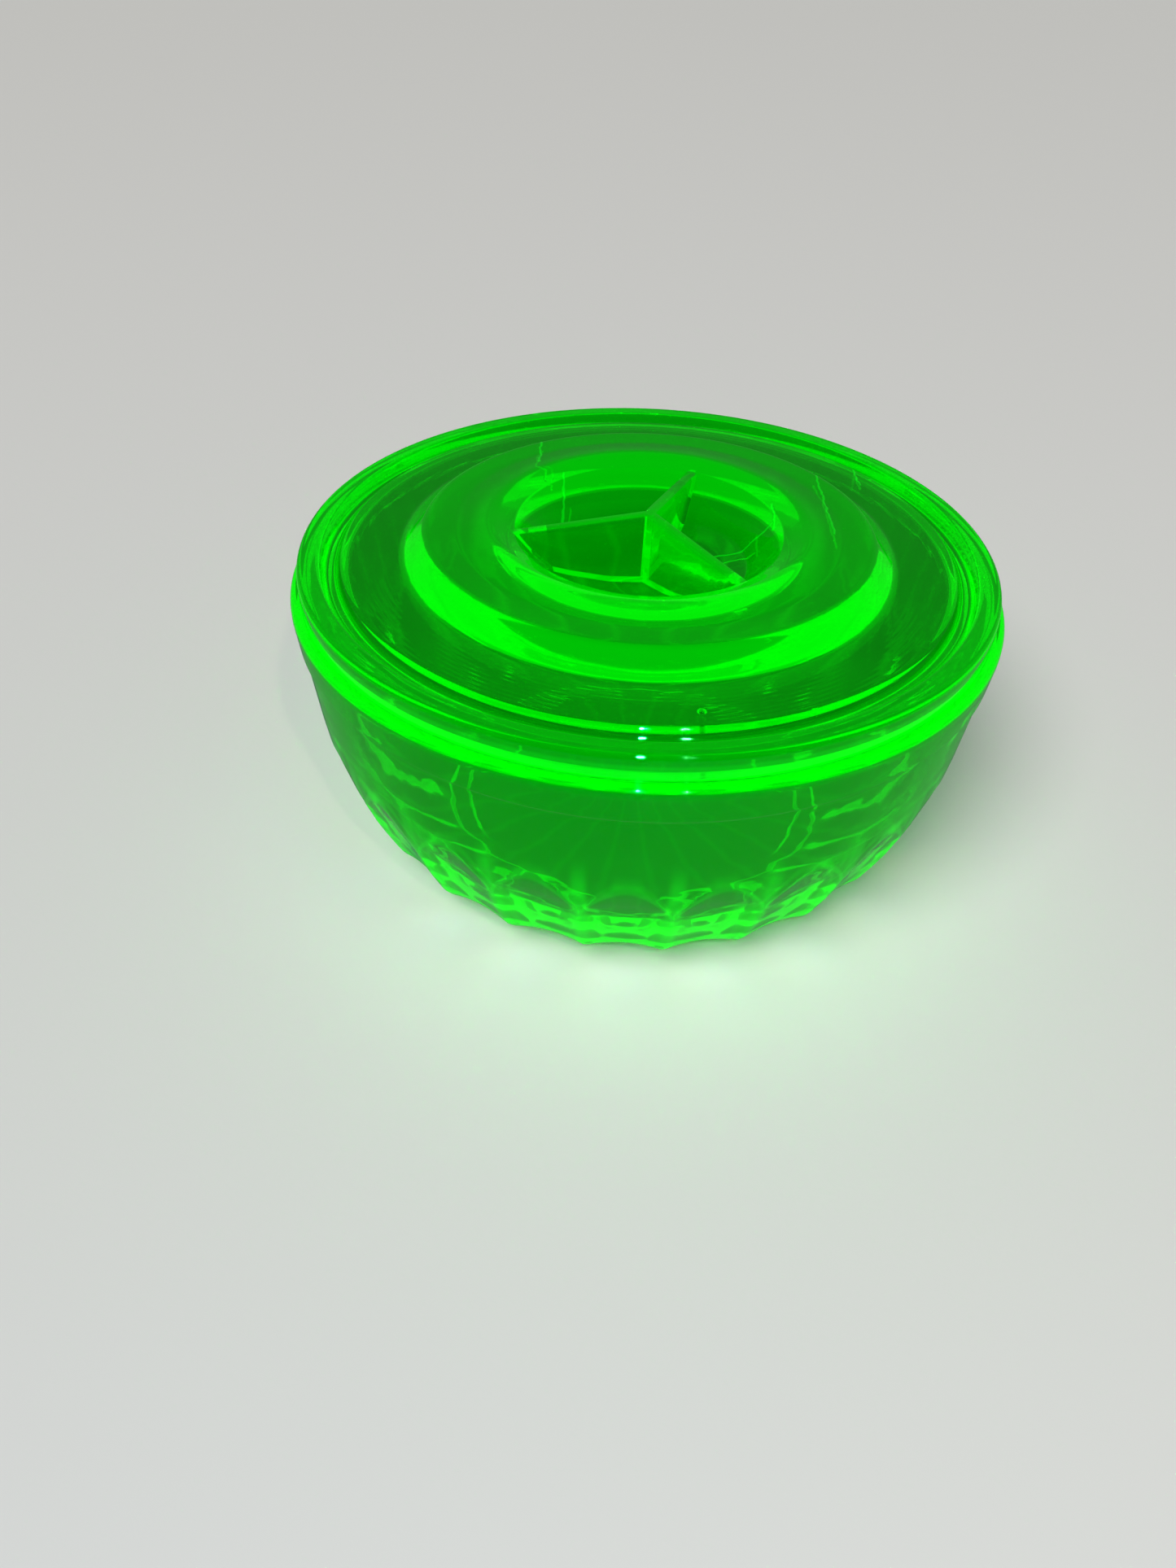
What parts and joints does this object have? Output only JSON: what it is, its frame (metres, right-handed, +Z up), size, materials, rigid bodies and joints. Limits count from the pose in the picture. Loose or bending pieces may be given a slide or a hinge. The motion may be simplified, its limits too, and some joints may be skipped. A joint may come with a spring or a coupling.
{
  "type": "covered glass bowl",
  "caption": "Round pressed-glass bowl with a fluted lower wall and a loose lid, its grip a ring of webs sunk into a central well.",
  "frame": {"origin": "centre of the foot on the surface that the bowl stands on", "axes": "+Z up through the lid, -Y to the front"},
  "size_m": [0.17, 0.17, 0.0836],
  "materials": {
    "bowl_glass": "smooth pressed glass, glowing green under ultraviolet light",
    "lid_glass": "smooth pressed glass, glowing green under ultraviolet light"
  },
  "bodies": {
    "bowl": {"bowl": "bowl_glass"},
    "lid": {"lid": "lid_glass"}
  },
  "joints": [
    {"name": "lid_lift", "type": "slide", "parent": "bowl", "child": "lid", "axis": [0, 0, 1], "range_m": [0, 0.1]}
  ]
}
